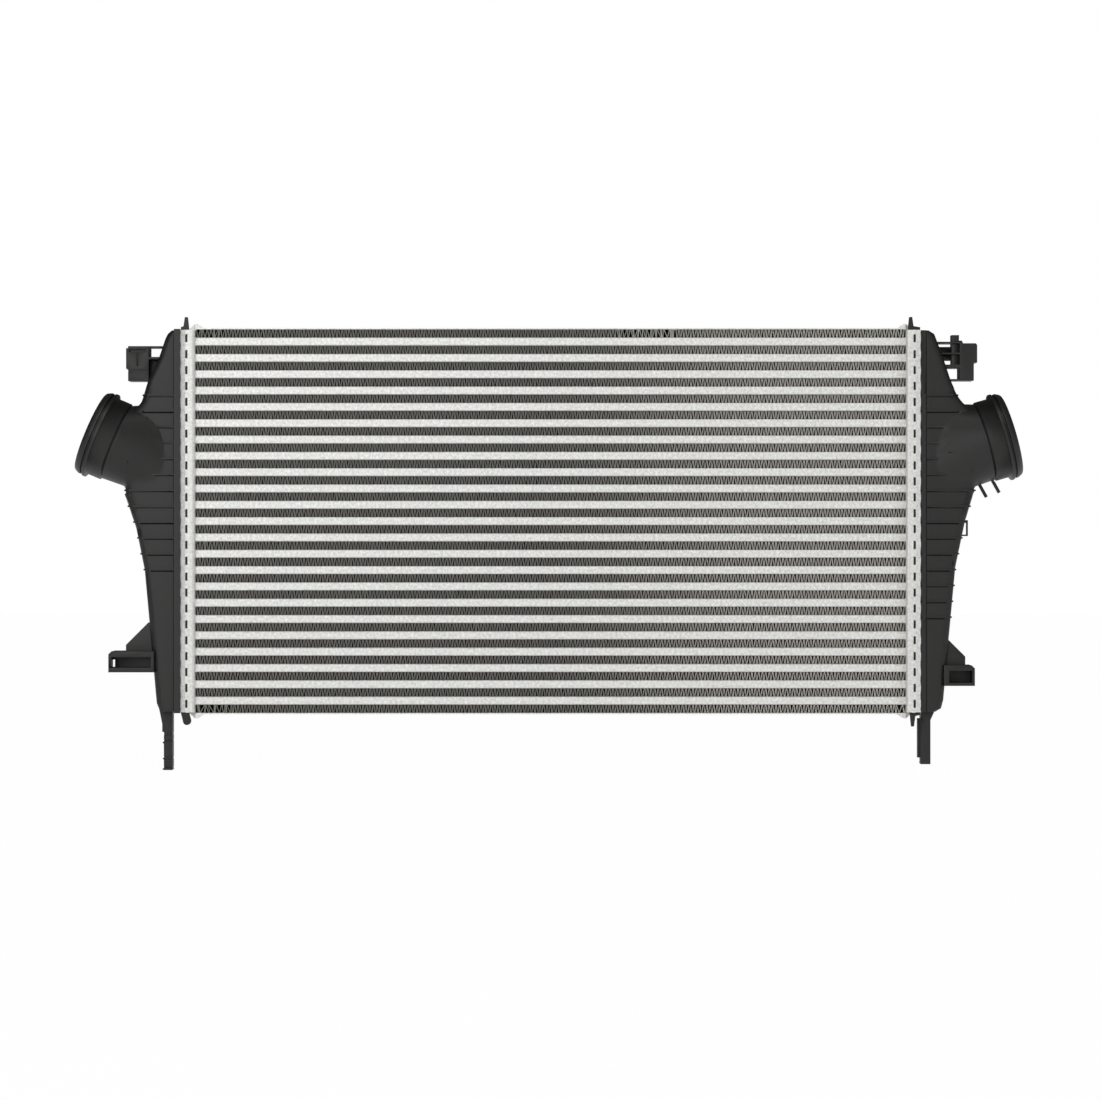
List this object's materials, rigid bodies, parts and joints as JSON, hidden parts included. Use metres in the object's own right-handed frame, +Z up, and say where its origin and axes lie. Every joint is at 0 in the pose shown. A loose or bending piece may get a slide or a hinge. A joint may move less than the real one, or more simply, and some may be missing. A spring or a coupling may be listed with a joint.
{
  "type": "intercooler",
  "caption": "Charge-air cooler with a wide brazed core of flat tubes and folded fins, crimped header plates and a ribbed plastic end tank with an angled hose neck on each side.",
  "frame": {"origin": "middle of the core's front face, on the nose of the middle tube", "axes": "+X along the tubes to the right seen from the front, +Z up across the tubes, +Y from the front of the core to its back"},
  "size_m": [0.932, 0.0872, 0.4446],
  "materials": {
    "tube": "brazed, dull",
    "fin": "brazed, dull",
    "header": "brazed, dull",
    "side_plate": "brazed, dull",
    "gasket": "moulded rubber",
    "tank": "moulded, fine grain, soft sheen"
  },
  "bodies": {
    "root": {"tube_01": "tube", "tube_02": "tube", "tube_03": "tube", "tube_04": "tube", "tube_05": "tube", "tube_06": "tube", "tube_07": "tube", "tube_08": "tube", "tube_09": "tube", "tube_10": "tube", "tube_11": "tube", "tube_12": "tube", "tube_13": "tube", "tube_14": "tube", "tube_15": "tube", "tube_16": "tube", "tube_17": "tube", "tube_18": "tube", "tube_19": "tube", "tube_20": "tube", "tube_21": "tube", "tube_22": "tube", "tube_23": "tube", "fin_01": "fin", "fin_02": "fin", "fin_03": "fin", "fin_04": "fin", "fin_05": "fin", "fin_06": "fin", "fin_07": "fin", "fin_08": "fin", "fin_09": "fin", "fin_10": "fin", "fin_11": "fin", "fin_12": "fin", "fin_13": "fin", "fin_14": "fin", "fin_15": "fin", "fin_16": "fin", "fin_17": "fin", "fin_18": "fin", "fin_19": "fin", "fin_20": "fin", "fin_21": "fin", "fin_22": "fin", "fin_23": "fin", "fin_24": "fin", "turbulators": "fin", "side_plate_top": "side_plate", "side_plate_bottom": "side_plate", "header_plate_left": "header", "header_plate_right": "header", "gasket_left": "gasket", "gasket_right": "gasket", "end_tank_left": "tank", "end_tank_right": "tank"}
  },
  "joints": []
}
